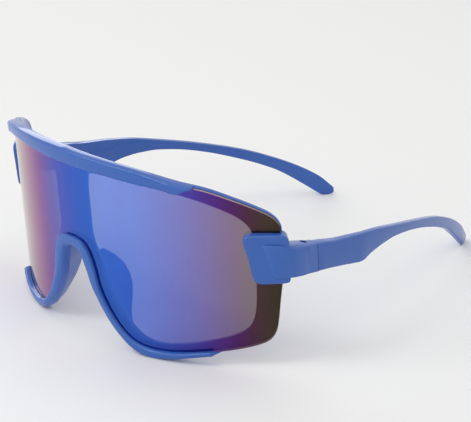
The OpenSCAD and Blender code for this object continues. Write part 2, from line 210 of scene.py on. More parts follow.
def mirrorLens():
    m, look = Maker("mirrorCoatedLens"), lensLook
    at = m.coords()
    x, y, z = m.parts(at)
    length = x.angleWith(beforeAxis(y, z)) * glasses["radius"]
    cloud = (m.noise(at, look["cloud"], 1.0) - 0.5) * look["uneven"]
    share = (length.absolute() / glasses["half"] + cloud).clamped()
    away = m.make("ShaderNodeLayerWeight", {}, {"Blend": 0.5}, "Facing")
    coated, slanted = (m.plain({
        "Base Color": m.ramp(value, [(place, linear(*shade)) for place, shade in stops]),
        "Metallic": 1.0, "Roughness": look["roughness"], "Alpha": cover,
    }) for value, stops, cover in ((share, coating, look["cover"]), (away, sheen, sheenLook["cover"])))
    setIn = ((away - sheenLook["from"]) / sheenLook["over"]).clamped()
    return m.finish(m.make("ShaderNodeMixShader", {}, {0: setIn, 1: coated, 2: slanted}))


edgeLook = {"deep": (178, 146, 148), "pale": (196, 168, 166), "marks": 600.0, "roughness": 0.25,
            "uneven": 0.2, "metallic": 0.0}
steelLook = {"deep": (60, 62, 70), "pale": (110, 112, 120), "marks": 2500.0, "roughness": 0.25,
             "uneven": 0.15, "metallic": 1.0}


def marked(name, look):
    # two close shades and a roughness that follow the same fine marks: sawn on the lens, turned on the steel
    m = Maker(name)
    marks = m.noise(m.coords(), look["marks"], 2.0)
    return m.finish(m.plain({
        "Base Color": m.mix(marks, linear(*look["deep"]), linear(*look["pale"])),
        "Metallic": look["metallic"], "Roughness": look["roughness"] + marks * look["uneven"],
    }))


plastic, lensCoat = bluePlastic(), mirrorLens()
cutEdge, screwSteel = marked("cutLensEdge", edgeLook), marked("screwSteel", steelLook)
print("materials made")


def onWrap(length, radius, height):
    # a length along the lens becomes an angle about the cylinder's axis: x = r sin a, y = R - r cos a
    length, radius, height = np.broadcast_arrays(length, radius, height)
    a = length / glasses["radius"]
    return np.stack([radius * np.sin(a), glasses["radius"] - radius * np.cos(a), height], -1)


def throughView(x, radius, height):
    # the same cylinder reached straight back from a front view: y = R - sqrt(r^2 - x^2)
    x, radius, height = np.broadcast_arrays(x, radius, height)
    return np.stack([x, glasses["radius"] - np.sqrt(radius ** 2 - x ** 2), height], -1)


def smoothLine(points, steps, closed=False):
    # cubic through the points, each tangent parallel to the chord of its neighbours
    p = np.asarray(points, float)
    if closed:
        p = np.vstack([p[-1:], p, p[:2]])
        chord = p[2:] - p[:-2]
        p = p[1:-1]
    else:
        chord = np.vstack([p[1:2] - p[:1], p[2:] - p[:-2], p[-1:] - p[-2:-1]])
    chord = chord / np.linalg.norm(chord, axis=1, keepdims=True)
    a, b = p[:-1], p[1:]
    size = np.linalg.norm(b - a, axis=1, keepdims=True)
    t = (np.arange(steps) / steps)[None, :, None]
    a, b, ta, tb = (v[:, None, :] for v in (a, b, chord[:-1] * size, chord[1:] * size))
    line = (a * (2 * t ** 3 - 3 * t ** 2 + 1) + b * (3 * t ** 2 - 2 * t ** 3)
            + ta * (t ** 3 - 2 * t ** 2 + t) + tb * (t ** 3 - t ** 2)).reshape(-1, p.shape[1])
    return line if closed else np.vstack([line, p[-1:]])


def outward(line, closed=False):
    # unit normals on the right hand of a line in a plane, from central differences
    if closed:
        t = np.roll(line, -1, 0) - np.roll(line, 1, 0)
    else:
        t = np.gradient(line, axis=0)
    t = t / np.linalg.norm(t, axis=1, keepdims=True)
    return np.stack([t[:, 1], -t[:, 0]], -1)


def arc(start, end, count):
    # cosines and sines of evenly spaced angles in degrees
    a = np.radians(np.linspace(start, end, count))
    return np.cos(a), np.sin(a)


def bothSides(points, faces):
    # the right half and its mirror image across the middle plane
    flip = points * np.array([-1, 1, 1])
    return np.vstack([points, flip]), np.vstack([faces, faces[:, ::-1] + len(points)])


def loft(rings, closedPath=False):
    # rings of even length joined by quads; an end cap joins each point to the one opposite it in the ring
    rows, around = rings.shape[:2]
    i = np.arange(rows if closedPath else rows - 1)[:, None]
    j = np.arange(around)[None, :]
    nextRow = (i + 1) % rows
    quads = np.stack(np.broadcast_arrays(i * around + j, i * around + (j + 1) % around,
                                         nextRow * around + (j + 1) % around, nextRow * around + j), -1)
    quads = quads.reshape(-1, 4)
    if not closedPath:
        k = np.arange(around // 2 - 1)
        cap = np.stack([k, k + 1, around - 2 - k, around - 1 - k], -1)
        quads = np.vstack([quads, cap, cap + (rows - 1) * around])
    return rings.reshape(-1, 3), quads


def placedMesh(name, points, faces):
    mesh = bpy.data.meshes.new(name)
    mesh.from_pydata(standing(points), [], np.asarray(faces).tolist())
    return mesh


def makePiece(name, body, points, faces, material, crease=35):
    # doubles are welded, slivers dissolved and their gaps closed; edges past the crease angle stay sharp
    mesh = placedMesh(name, points, faces)
    shape = bmesh.new()
    shape.from_mesh(mesh)
    bmesh.ops.remove_doubles(shape, verts=shape.verts, dist=2e-6)
    bmesh.ops.dissolve_degenerate(shape, dist=1e-6, edges=shape.edges)
    bmesh.ops.delete(shape, geom=[e for e in shape.edges if not e.link_faces], context="EDGES")
    bmesh.ops.holes_fill(shape, edges=[e for e in shape.edges if e.is_boundary], sides=4)
    bmesh.ops.recalc_face_normals(shape, faces=shape.faces)
    shape.to_mesh(mesh)
    shape.free()
    mesh.shade_smooth()
    mesh.set_sharp_from_angle(angle=math.radians(crease))
    mesh.materials.append(material)
    piece = bpy.data.objects.new(name, mesh)
    scene.collection.objects.link(piece)
    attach(piece, body)
    return piece


def cutAway(piece, shapes, crease=38):
    # each shape is taken out of the piece; the result replaces its mesh and the cutters go
    tools = []
    for points, faces in shapes:
        mesh = placedMesh("cutter", points, faces)
        shape = bmesh.new()
        shape.from_mesh(mesh)
        bmesh.ops.recalc_face_normals(shape, faces=shape.faces)
        shape.to_mesh(mesh)
        shape.free()
        tools.append(bpy.data.objects.new("cutter", mesh))
        scene.collection.objects.link(tools[-1])
        cut = piece.modifiers.new("cut", "BOOLEAN")
        cut.operation, cut.solver, cut.object = "DIFFERENCE", "EXACT", tools[-1]
    bpy.context.view_layer.update()
    done = bpy.data.meshes.new_from_object(piece.evaluated_get(bpy.context.evaluated_depsgraph_get()))
    piece.modifiers.clear()
    old, piece.data = piece.data, done
    bpy.data.meshes.remove(old)
    done.set_sharp_from_angle(angle=math.radians(crease))
    for tool in tools:
        mesh = tool.data
        bpy.data.objects.remove(tool)
        bpy.data.meshes.remove(mesh)


# outlines of the front: length along the wrap, height
lensTop = smoothLine([(0, 70.2), (28.5, 69.2), (55.5, 65.4), (67.5, 61.3), (77, 56.8), (80.6, 54.2),
                      (82.3, 51.6), (83.3, 48)], 12)
lensCorner = smoothLine([(83.7, 38.7), (82.7, 32.7), (81.3, 23.7), (80.4, 17), (79.3, 12), (76.8, 8.6),
                         (71.4, 6.5), (59.5, 4.2), (39.7, 1.3), (27.9, 2.2), (19.6, 7.8), (11.8, 19.7),
                         (8.6, 31.5), (5.4, 36.6), (0, 37.8)], 12)
wallOpening = smoothLine([(10.8, 65.2), (28.5, 64.8), (48.2, 62.3), (62.7, 57.5), (71, 52), (73.5, 45),
                          (73.2, 30), (72.1, 18), (69, 12.3), (58.9, 8.4), (43.6, 5.2), (32, 4.9),
                          (24.8, 9.5), (17.6, 21), (14, 31), (9.4, 39), (8.8, 49.8), (9.1, 62)],
                         10, closed=True)


def along(line, place):
    # height of a line at a length along the wrap
    order = np.argsort(line[:, 0])
    return np.interp(np.abs(place), line[order, 0], line[order, 1])


lensShape = {"columns": 150, "rows": 40, "endCrowd": 0.115, "edgeCrowd": 0.08, "edgeOn": 0.6, "bevel": 0.0002}


def makeLens():
    # columns along the wrap, closer together at the nose arch and at the ends; each runs from edge to edge
    s = lensShape
    t = np.linspace(0, 1, s["columns"])
    half = glasses["half"] * (t - s["endCrowd"] * np.sin(2 * np.pi * t))
    u = np.concatenate([-half[::-1], half[1:]])[:, None]
    v = np.linspace(0, 1, s["rows"])[None, :]
    v = v - s["edgeCrowd"] * np.sin(2 * np.pi * v)
    low, top = along(lensCorner, u), along(lensTop, u)
    height = low + (top - low) * v
    front = onWrap(u, glasses["radius"], height)
    back = onWrap(u, glasses["radius"] - glasses["lensThick"], height)
    points, faces = loft(np.concatenate([front, back[:, ::-1]], 1))
    lens = makePiece("shieldLens", "front", points, faces, lensCoat, 30)
    # a face that doesn't look towards or away from the cylinder's axis is cut edge
    lens.data.materials.append(cutEdge)
    normals = np.array([p.normal for p in lens.data.polygons])
    centres = np.array([p.center for p in lens.data.polygons])
    radial = np.stack([centres[:, 0], -beforeAxis(centres[:, 1], centres[:, 2])], -1)
    radial /= np.linalg.norm(radial, axis=1, keepdims=True)
    edgeOn = np.abs((normals[:, :2] * radial).sum(1)) < s["edgeOn"]
    lens.data.polygons.foreach_set("material_index", edgeOn.astype(np.int32))
    bevel = lens.modifiers.new("edge", "BEVEL")
    bevel.width, bevel.segments, bevel.limit_method, bevel.angle_limit = s["bevel"], 2, "ANGLE", 1.0
    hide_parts("shield_lens")


makeLens()
print("lens made")


frontPieces = []


def frontPiece(name, points, faces, crease=35):
    frontPieces.append(makePiece(name, "front", points, faces, plastic, crease))


browShape = {"reach": 53.5, "columns": 215, "topRound": 0.7, "topFall": 1.2, "lowRound": 0.3, "lowRise": 0.4,
             "backRound": 0.3, "back": 90.32, "fullHeight": 2.4, "grow": 0.9, "growFrom": 26, "growOver": 20,
             "tipFrom": 50}
browTop = smoothLine([(0, 73.2), (16.05, 72.4), (32.1, 70.8), (45.9, 68.2), (53.5, 66.5)], 60)
browLow = smoothLine([(0, 67.8), (20.3, 67.2), (37.5, 65.9), (44, 65.1), (46, 64.5), (47.8, 64.3),
                      (49.6, 64.9), (51.4, 65.7), (53.5, 65.9)], 40)


def makeBrow():
    # an upturned trough over the lens edge; each profile point hangs from the low, top or lens line
    b, face, seat = browShape, glasses["lipFace"], glasses["seat"]
    lowC, lowS = arc(-90, 0, 4)
    topC, topS = arc(0, 90, 5)
    backC, backS = arc(90, 180, 4)
    inner = glasses["radius"] + glasses["gap"]
    r = np.concatenate([[inner + 0.15], face - b["lowRound"] * (1 - lowC), face - b["topRound"] * (1 - topC),
                        b["back"] + b["backRound"] * (1 + backC), [b["back"]] * 2,
                        [seat] * 3, [seat + 0.3, seat + 0.6, inner - 0.3, inner - 0.1], [inner] * 9])
    off = np.concatenate([[0], b["lowRise"] * (1 + lowS), -b["topFall"] * (1 - topS),
                          -b["backRound"] * (1 - backS), [0.2, 0], [0, 0.3, -0.3], [0] * 4,
                          [-0.05, -0.15, -0.3, -0.5, 0.9, 0.6, 0.4, 0.2, 0]])
    hang = np.array([0] * 5 + [1] * 9 + [2, 0] + [0, 0, 2] + [2] * 8 + [0] * 5)
    u = np.linspace(-b["reach"], b["reach"], b["columns"])
    lines = np.stack([along(browLow, u), along(browTop, u), along(lensTop, u) + glasses["gap"]], -1)
    lines[:, 2] = np.clip(lines[:, 2], lines[:, 0] + 0.02, lines[:, 1] - 0.15)
    shrink = np.clip((lines[:, 1] - lines[:, 0]) / b["fullHeight"], 0.12, 1)[:, None]
    height = lines[:, hang] + off[None, :] * shrink
    # towards each tip the front face stands further out, then it rounds down onto the lens
    away = np.abs(u[:, None])
    grown = 1 + b["grow"] * np.clip((away - b["growFrom"]) / b["growOver"], 0, 1) ** 1.5
    tipLength = b["reach"] - b["tipFrom"]
    left = np.clip(away - b["tipFrom"], 0, tipLength) / (tipLength + 0.05)
    tip = np.sqrt(np.clip(1 - left ** 2, 0.02, 1))
    r = np.where(r[None, :] > inner, inner + (r[None, :] - inner) * grown * tip, r[None, :])
    points, faces = loft(onWrap(u[:, None], r, height))
    frontPiece("browBar", points, faces)


lipShape = {"width": 1.5, "tuck": 1.5, "tuckLoss": 0.7, "faceRound": 1.4, "noseRound": 3.0, "noseInner": 0.3,
            "innerRound": 0.9, "back": 89.82, "backRound": 0.3, "stand": 0.9, "endSteps": 6}
lipPath = [(0, 37.8), (5.4, 36.6), (8.6, 31.5), (11.8, 19.7), (19.6, 7.8), (27.9, 2.2), (39.7, 1.3),
           (56.6, 3.65)]


def stretched(values, count):
    # the first and the last value are repeated at the ends
    return np.concatenate([np.repeat(values[:1], count, 0), values, np.repeat(values[-1:], count, 0)])


def makeLip():
    # an L carried along the lower lens edge in the front view; past the ends its width follows an ellipse
    s, radius = lipShape, glasses["radius"]
    path = np.array(lipPath)
    path = np.stack([radius * np.sin(path[:, 0] / radius), path[:, 1]], -1)
    path = np.vstack([path[:0:-1] * np.array([-1, 1]), path])
    line = smoothLine(path, 12)
    out = outward(line)
    x = np.abs(line[:, 0])
    wide = s["width"] + np.interp(x, [0, 6, 9, 12, 20, 30, 36, 45, 57],
                                  [1, 1.5, 2, 1, 0.6, 0.3, 0.1, -0.4, -0.6])
    tuck = s["tuck"] - np.interp(x, [30, 52], [0, s["tuckLoss"]])
    steps, reach = s["endSteps"], (wide[0] + tuck[0]) / 2
    e = reach * np.sin(np.linspace(0, np.pi / 2, steps + 1))[1:]
    cut = np.maximum(np.sqrt(np.maximum(reach ** 2 - e ** 2, 0)), 0.04)
    half = np.concatenate([cut[::-1], np.full(len(line), 9.0), cut])
    ahead = np.stack([-out[:, 1], out[:, 0]], -1)
    line = np.vstack([(line[0] - e[:, None] * ahead[0])[::-1], line, line[-1] + e[:, None] * ahead[-1]])
    out, wide, tuck = (stretched(v, steps) for v in (out, wide, tuck))
    # each section turns the inner corner, the face's outer corner (wider at the nose) and the rear corner
    inC, inS = arc(180, 90, 5)
    outC, outS = arc(90, 0, 8)
    backC, backS = arc(0, -90, 4)
    lens = radius + glasses["gap"]
    x = np.abs(line[:, 0])
    face = (glasses["lipFace"] + np.interp(x, [18, 44], [0, s["stand"]]))[:, None]
    rounds = [s["width"], s["noseRound"], s["noseRound"], s["faceRound"]]
    turn = np.interp(x, [6, 12, 22, 30], rounds)[:, None]
    inner = np.interp(x, [14, 26], [s["noseInner"], s["innerRound"]])[:, None]
    column = np.ones((len(line), 1))
    inset = np.concatenate([0 * column, inner * (1 + inC), -turn * (1 - outC),
                            -s["backRound"] * column * (1 - backC)], 1)
    r = np.concatenate([column * (lens + 0.05), face - inner * (1 - inS), face - turn * (1 - outS) * 0.8,
                        column * (s["back"] + s["backRound"] * (1 + backS))], 1)
    fromOuter = np.arange(18) > 5
    place = np.where(fromOuter[None, :], wide[:, None], -tuck[:, None]) + inset
    # the way back under the lens edge and up its front
    under = np.concatenate([[glasses["gap"]] * 9, [0.02, -0.1, -0.3],
                            -tuck[0] * np.array([0.4, 0.6, 0.8, 0.95, 1])])
    rUnder = np.concatenate([s["back"] + np.array([0, 0.2, 0.5]), np.linspace(90.6, 92.3, 4), [lens] * 10])
    place = np.concatenate([place, column * under], 1)
    r = np.concatenate([r, column * rUnder], 1)
    middle = ((wide - tuck) / 2)[:, None]
    place = np.clip(place, middle - half[:, None], middle + half[:, None])
    flat = line[:, None, :] + out[:, None, :] * place[..., None]
    points, faces = loft(throughView(flat[..., 0], r, flat[..., 1]))
    frontPiece("lowerLip", points, faces)


wallShape = {"centre": (42, 36), "rays": 220, "edgeRound": 0.45, "edgeLimit": 82.9, "aboveLens": 0.4,
             "spine": (37.8, 70.6)}


def rayTo(line, angles):
    # distance from the centre to a closed line along each ray
    p = line - np.array(wallShape["centre"])
    a = np.unwrap(np.arctan2(p[:, 1], p[:, 0]))
    d = np.hypot(p[:, 0], p[:, 1])
    if a[-1] < a[0]:
        a, d = a[::-1], d[::-1]
    return np.interp(angles, np.concatenate([a - 2 * np.pi, a, a + 2 * np.pi]), np.tile(d, 3))


def makeWall():
    # rings from the opening to the outline of one half, reached on rays from a centre; mirrored and welded
    w, g, q = wallShape, glasses, wallShape["edgeRound"]
    across, up = w["centre"]
    foot, head = w["spine"]
    edge = np.vstack([[(0, head)], lensTop[1:] + np.array([0, w["aboveLens"]]), [(83.9, 44)], lensCorner])
    edge[:, 0] = np.minimum(edge[:, 0], w["edgeLimit"])
    edge[-1, 0] = 0
    edge = np.vstack([edge, np.stack([np.zeros(9), np.linspace(foot, head, 11)[1:-1]], -1)])
    corner = np.arctan2(np.array([head, foot]) - up, -across)
    angles = np.unique(np.concatenate([np.linspace(-np.pi, np.pi, w["rays"])[:-1], corner]))
    inner, outer = rayTo(wallOpening, angles), rayTo(edge, angles)
    # on the middle plane the rays end exactly at x = 0
    onPlane = (angles > corner.min() - 1e-9) & (angles < corner.max() + 1e-9)
    outer[onPlane] = -across / np.cos(angles[onPlane])
    # each ray turns a quarter circle at the opening, then runs out by shares of what is left, and back behind
    c, s = arc(180, 90, 5)
    grow = np.concatenate([q * (1 + c), np.zeros(5)])
    part = np.array([0] * 5 + [0.25, 0.5, 0.75, 0.93, 1])
    sink = np.concatenate([q * (1 - s), np.zeros(5)])
    r = np.concatenate([g["seat"] - sink, (g["wallBack"] + sink)[::-1]])
    grow, part = (np.concatenate([v, v[::-1]]) for v in (grow, part))
    d = inner[:, None] + grow * (part == 0) + (outer - inner)[:, None] * part + q * (part > 0) * (1 - part)
    u = across + d * np.cos(angles)[:, None]
    u = np.where(np.abs(u) < 1e-3, 0, u)
    points, faces = loft(onWrap(u, r[None, :], up + d * np.sin(angles)[:, None]), closedPath=True)
    onSpine = np.abs(points[faces][:, :, 0]).max(1) < 1e-6
    points, faces = bothSides(points, faces[~onSpine])
    frontPiece("rearWall", points, faces, 50)


# how far beside the lens edge, and how far from the lens cylinder's axis
rimProfile = [(0.08, 91.4), (0.12, 91.55), (0.38, 91.55), (0.46, 91.4), (0.46, 89.8), (0.4, 89.6),
              (0.08, 89.6), (0.08, 90.4)]


def makeRimEdge():
    # a thin ledge carried beside the lens edge, from the end of the brow bar to behind the end piece
    line = np.vstack([lensTop[lensTop[:, 0] > 50], [(83.35, 46), (83.4, 43)]])
    line[:, 0] = np.minimum(line[:, 0], glasses["half"] + glasses["gap"])
    beside, r = np.array(rimProfile).T
    flat = line[:, None, :] - outward(line)[:, None, :] * beside[None, :, None]
    points, faces = loft(onWrap(flat[..., 0], r[None, :], flat[..., 1]))
    frontPiece("rimEdge", *bothSides(points, faces))


# the back steps down past the end of the lens
endShape = {"face": 95.0, "round": 0.75, "centre": (-4.5, 3.6), "stepAt": (81.6, 82.7), "back": (92.56, 89.85)}
# beside the end of the lens, above the hinge
endOutline = [(-12.8, 11.1), (-11.1, 12.8), (-5.4, 12.8), (-0.3, 12.3), (1.5, 11.7), (2.5, 10.2), (2.6, 3),
              (2.5, -4.1), (1.7, -5.6), (-3, -5.7), (-8.6, -5.2), (-10.1, -3.2), (-11.4, 4)]


def makeEndPiece():
    # a rounded plate on the lens: the outline, drawn in by a quarter circle, closes over face and back
    line = smoothLine(endOutline, 7, closed=True)
    q, centre = endShape["round"], np.array(endShape["centre"])
    c, s = arc(0, 90, 6)
    inset = np.concatenate([[0, 0], q * (1 - c), [q] * 6, [0] * 5])
    shrink = np.array([1] * 8 + [0.85, 0.65, 0.45, 0.25, 0.1, 0, 0, 0.3, 0.6, 0.8, 0.95])
    level = np.array([0, 0.5] + [1] * 12 + [0] * 5)
    drop = np.concatenate([[0, 0], q * (1 - s), np.zeros(11)])
    flat = line[:, None, :] + outward(line, closed=True)[:, None, :] * inset[None, :, None]
    flat = centre + (flat - centre) * shrink[None, :, None]
    u, z = glasses["half"] + flat[..., 0], hinge[2] + flat[..., 1]
    base = np.interp(u, endShape["stepAt"], endShape["back"])
    r = base + (endShape["face"] - base) * level - drop
    points, faces = loft(onWrap(u, r, z), closedPath=True)
    frontPiece("endPiece", *bothSides(points, faces))


lensEnd = (0.8, -11)   # from the hinge axis


def besideEnd(length, out):
    # lengths along and out of the lens at its end, as places from the hinge axis
    a = glasses["half"] / glasses["radius"]
    c, s = math.cos(a), math.sin(a)
    return (length * c + out * s + lensEnd[0], length * s - out * c + lensEnd[1])


armShape = {"steps": 8, "lowRound": 0.35, "endRound": 4.9}
armOuter = [besideEnd(-5.2, 2.3), besideEnd(-4.4, 3.0), besideEnd(-3.2, 3.45), besideEnd(0.3, 3.45),
            besideEnd(1.9, 3.2), (5.1, -8.9), (4.8, -4.9), (3.9, -1), (3.0, 3.87)]
armInner = [besideEnd(-5.2, 1.2), besideEnd(-4.4, 1.2), besideEnd(-3.2, 1.2), besideEnd(-0.5, 1.0),
            besideEnd(0.6, 0.2), (-0.6, -7.8), (-1.9, -3.9), (-1.8, 0), (-1.9, 4.5)]
armSlant = [-2.9, -2.7, -2.3, -0.8, 0, 0, 0, 0, 0]   # how far the top runs ahead of the bottom
armTopInner = [9.3, 9.5, 9.5, 9.0, 8.5, 7.7, 6.4, 5.1, 3.6]
armTopOuter = [9.0, 9.1, 9.0, 8.3, 7.4, 6.1, 4.9, 4.4, 3.5]
armLow = [-3.0, -3.2, -3.3, -3.35, -3.5, -4.0, -4.95, -5.9, -7.2]
slotShape = {"low": (-9, -2.15, -2.95), "high": (2.15, 9, 2.95), "wellRadius": 1.33, "wellFrom": 2.98,
             "wellTo": 8.0}


def tongueSlot():
    # a box open to the rear and to the inside, as high as the tongue
    low, high = np.array(slotShape["low"]), np.array(slotShape["high"])
    pick = np.array([[0, 0, 0], [1, 0, 0], [1, 1, 0], [0, 1, 0], [0, 0, 1], [1, 0, 1], [1, 1, 1], [0, 1, 1]])
    faces = np.array([[0, 3, 2, 1], [4, 5, 6, 7], [0, 1, 5, 4], [1, 2, 6, 5], [2, 3, 7, 6], [3, 0, 4, 7]])
    return bothSides(low + (high - low) * pick + hinge, faces)


def screwWell():
    # the round well over the screw head, a little wider than the head
    a = np.linspace(0, 2 * np.pi, 41)[:-1]
    x, y = slotShape["wellRadius"] * np.cos(a), slotShape["wellRadius"] * np.sin(a)
    rings = np.stack([np.stack([x, y, 0 * a + slotShape[key]], -1) for key in ("wellFrom", "wellTo")])
    points, faces = loft(rings)
    return bothSides(points + hinge, faces)


def makeArm():
    # sections between an outer and an inner line seen from above; the top falls outwards in a soft bevel,
    # and the last sections bend into a cylinder about the hinge axis
    lines = np.column_stack([armOuter, armInner, armSlant, armTopInner, armTopOuter, armLow])
    rows = smoothLine(lines, armShape["steps"])
    outer, inner = rows[:, 0:2], rows[:, 2:4]
    slant, topIn, topOut, low = rows[:, 4:].T
    # over the section, by share of its thickness from the outside
    q = np.array([0, 0.02, 0.06, 0.12, 0.2, 0.3, 0.42, 0.55, 0.75, 0.93, 0.98, 1])
    fall = np.array([1, 0.8, 0.6, 0.42, 0.25, 0.1, 0.02] + [0] * 5)
    inEdge = np.array([0] * 9 + [0.02, 0.12, 0.35])
    lowEdge = np.array([1, 0.7, 0.4, 0.15, 0.03] + [0] * 4 + [0.05, 0.3, 0.6]) * armShape["lowRound"]
    plan = outer[:, None, :] + (inner - outer)[:, None, :] * q[None, :, None]
    top = topIn[:, None] - (topIn - topOut)[:, None] * fall - inEdge
    bottom = low[:, None] + lowEdge
    turn = glasses["half"] / glasses["radius"]
    shift = (slant / 2)[:, None, None] * np.array([math.cos(turn), math.sin(turn)])
    topPlan, lowPlan = plan + shift, plan - shift
    # bend the end: y towards sqrt(r^2 - x^2)
    share = np.clip(plan[..., 1] / np.maximum(plan[-1:, :, 1], 0.1), 0, 1) ** 2
    endY = np.sqrt(armShape["endRound"] ** 2 - np.clip(plan[..., 0], -4.8, 4.8) ** 2)
    for place in (topPlan, lowPlan):
        place[..., 1] += (endY - plan[-1:, :, 1]) * share
    upper = np.concatenate([topPlan, top[..., None]], -1)
    lower = np.concatenate([lowPlan, bottom[..., None]], -1)
    points, faces = loft(np.concatenate([upper, lower[:, ::-1]], 1))
    frontPiece("hingeArm", *bothSides(points + hinge, faces), 40)
    cutAway(frontPieces[-1], (tongueSlot(), screwWell()))


padShape = {"thick": 1.8, "flare": 21, "foot": 1.2}
padLine = smoothLine([(25.6, 1.3), (22.5, 2.75), (20.1, 4.2), (17.2, 6.9), (14.6, 10.7), (12.3, 14.7),
                      (10.5, 18.7), (8.8, 22.7), (7, 26.7), (5.8, 30.7), (5.4, 33.8)], 5)
padHeights = [1.3, 2.6, 4.2, 6.7, 10.7, 14.7, 18.7, 22.7, 26.7, 30.7, 34.4]
padDepths = [6.0, 6.2, 6.9, 8.1, 9.66, 11.7, 13.2, 13.8, 13.2, 10.8, 6.9]


def makePads():
    # a band whose foot follows the arch; it leans outwards as it runs back, and ends in a half circle
    out, z = outward(padLine), padLine[:, 1]
    rear = np.interp(z, padHeights, padDepths)
    start = padShape["foot"] + padLine[:, 0] ** 2 / (2 * glasses["radius"])
    w = padShape["thick"] / 2
    c, s = arc(90, 0, 5)
    depth = np.concatenate([np.linspace(0, 1, 7), np.ones(5)])
    back = np.concatenate([np.zeros(7), w * c])
    side = np.concatenate([np.full(7, -w), -w * s])
    depth, back, side = (np.concatenate([v, m]) for v, m in
                         ((depth, depth[::-1]), (back, back[::-1]), (side, -side[::-1])))
    y = start[:, None] + (rear - w - start)[:, None] * depth + back
    thin = np.interp(np.arange(len(z)), [0, 3, len(z) - 4, len(z) - 1], [0.5, 1, 1, 0.6])[:, None]
    flat = padLine[:, None, :] + out[:, None, :] * (w + side * thin)[..., None]
    x = flat[..., 0] + (y - 3) * math.tan(math.radians(padShape["flare"]))
    points, faces = loft(np.stack([x, y, flat[..., 1]], -1))
    frontPiece("nosePads", *bothSides(points, faces))


makeBrow()
makeLip()
makeWall()
makeRimEdge()
makeEndPiece()
makeArm()
makePads()
for piece in frontPieces:
    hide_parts("front_frame")
print("front made:", len(frontPieces), "pieces")


# seen from above and from the side, by share of the length: from the hinge inwards, and up from the hinge
templeShape = {"length": 122.2, "gap": 5.05}
templePlan = smoothLine([(0, 3.2), (0.136, 2.1), (0.25, 0.7), (0.414, -3.8), (0.57, -9.8), (0.777, -20),
                         (0.934, -29.2), (1.003, -33.6)], 8)
templeTop = smoothLine([(0.02, 3.95), (0.041, 3.4), (0.074, 2.45), (0.123, 0.8), (0.164, -0.2), (0.218, -1.5),
                        (0.316, -4.1), (0.414, -7.7), (0.545, -12.9), (0.692, -19.6), (0.799, -26),
                        (0.889, -32.7), (0.954, -38.9), (0.984, -43.1), (0.996, -45), (1, -46.1)], 8)
templeLow = smoothLine([(-0.003, -6), (0.12, -9.3), (0.185, -11.3), (0.218, -12.3), (0.234, -12.4),
                        (0.25, -11.9), (0.283, -11.3), (0.332, -11.1), (0.414, -12), (0.545, -16.4),
                        (0.692, -24.1), (0.799, -31.2), (0.856, -36.5), (0.905, -41.8), (0.938, -45.5),
                        (0.958, -47.6), (0.972, -48.1), (0.986, -48.1), (1, -47.4)], 8)
templeRuns = [(0.08, 0.2, 12), (0.2, 0.28, 17), (0.28, 0.84, 45), (0.84, 0.97, 18), (0.97, 0.9975, 9)]


def templePoints():
    # sections across the blade by share of its length; the front end is hollow, round the hinge knuckle
    length, gap = templeShape["length"], templeShape["gap"]
    runs = [(gap / length, 0.08, 5)] + templeRuns
    s = np.unique(np.concatenate([np.linspace(*run) for run in runs]))
    top, low, plan = (np.interp(s, *line.T) for line in (templeTop, templeLow, templePlan))
    slope = (np.interp(s + 0.012, *templePlan.T) - np.interp(s - 0.012, *templePlan.T)) / (0.024 * length)
    across = np.stack([-np.ones_like(s), slope], -1)
    across /= np.linalg.norm(across, axis=1, keepdims=True)
    thick = np.interp(s, [0, 0.054, 0.136, 0.25, 0.8, 0.93, 1], [4.8, 4.6, 3.7, 2.9, 2.9, 1.9, 1.3])
    # over the section, by share of its thickness from the outside
    q = np.array([0, 0.03, 0.08, 0.15, 0.24, 0.36, 0.5, 0.7, 0.84, 0.93, 0.98, 1])
    topDrop = np.array([1, 0.72, 0.48, 0.27, 0.1, 0.02, 0, 0, 0.03, 0.12, 0.32, 0.6])
    lowRise = np.array([0.4, 0.2, 0.08, 0.02, 0, 0, 0, 0, 0.02, 0.12, 0.35, 0.62])
    room = np.clip((top - low) / 5, 0.1, 1)[:, None]
    near = np.interp(s, [0.0, 0.1, 0.2], [0.3, 0.35, 0.4])[:, None]
    softTop = np.interp(s, [0.6, 0.85], [1.0, 1.6])[:, None]      # the tips are rounder
    softLow = np.interp(s, [0.6, 0.85], [1.0, 2.2])[:, None]
    upper = top[:, None] - topDrop * room * near * softTop
    lower = low[:, None] + lowRise * room * softLow
    place = q[None, :] * thick[:, None]
    x = plan[:, None] + across[:, :1] * place
    y = s[:, None] * length + across[:, 1:] * place
    bow = np.sqrt(np.maximum(gap ** 2 - x ** 2, 0.1))
    y = y + (bow - gap) * np.clip(1 - (y - gap) / 4, 0, 1)
    return loft(np.concatenate([np.stack([x, y, upper], -1), np.stack([x, y, lower], -1)[:, ::-1]], 1))


tongueShape = {"bore": 0.79, "radius": 2.0, "webHalf": 1.5, "webFrom": 1.33, "webEnd": 6.3, "half": 2.8,
               "edge": 0.1}


def tonguePoints():
    # a ring round the screw whose outside runs back into the blade: the larger of a circle and a straight web
    t = tongueShape
    h, e = t["half"], t["edge"]
    corners = [np.arctan2(t[place], [t["webHalf"], -t["webHalf"]]) for place in ("webEnd", "webFrom")]
    a = np.unique(np.concatenate([np.linspace(-np.pi, np.pi, 73)[:-1]] + corners))
    web = np.minimum(t["webEnd"] / np.maximum(np.sin(a), 1e-3),
                     t["webHalf"] / np.maximum(np.abs(np.cos(a)), 1e-3))
    rim = np.where(np.sin(a) > 0, np.maximum(t["radius"], web), t["radius"])
    bore, drawn = np.full_like(a, t["bore"]), rim - e
    reach = np.stack([bore, bore, drawn, rim, rim, drawn], -1)
    height = np.array([-h, h, h, h - e, e - h, -h])[None, :] + 0 * reach
    rings = np.stack([reach * np.cos(a)[:, None], reach * np.sin(a)[:, None], height], -1)
    return loft(rings, closedPath=True)


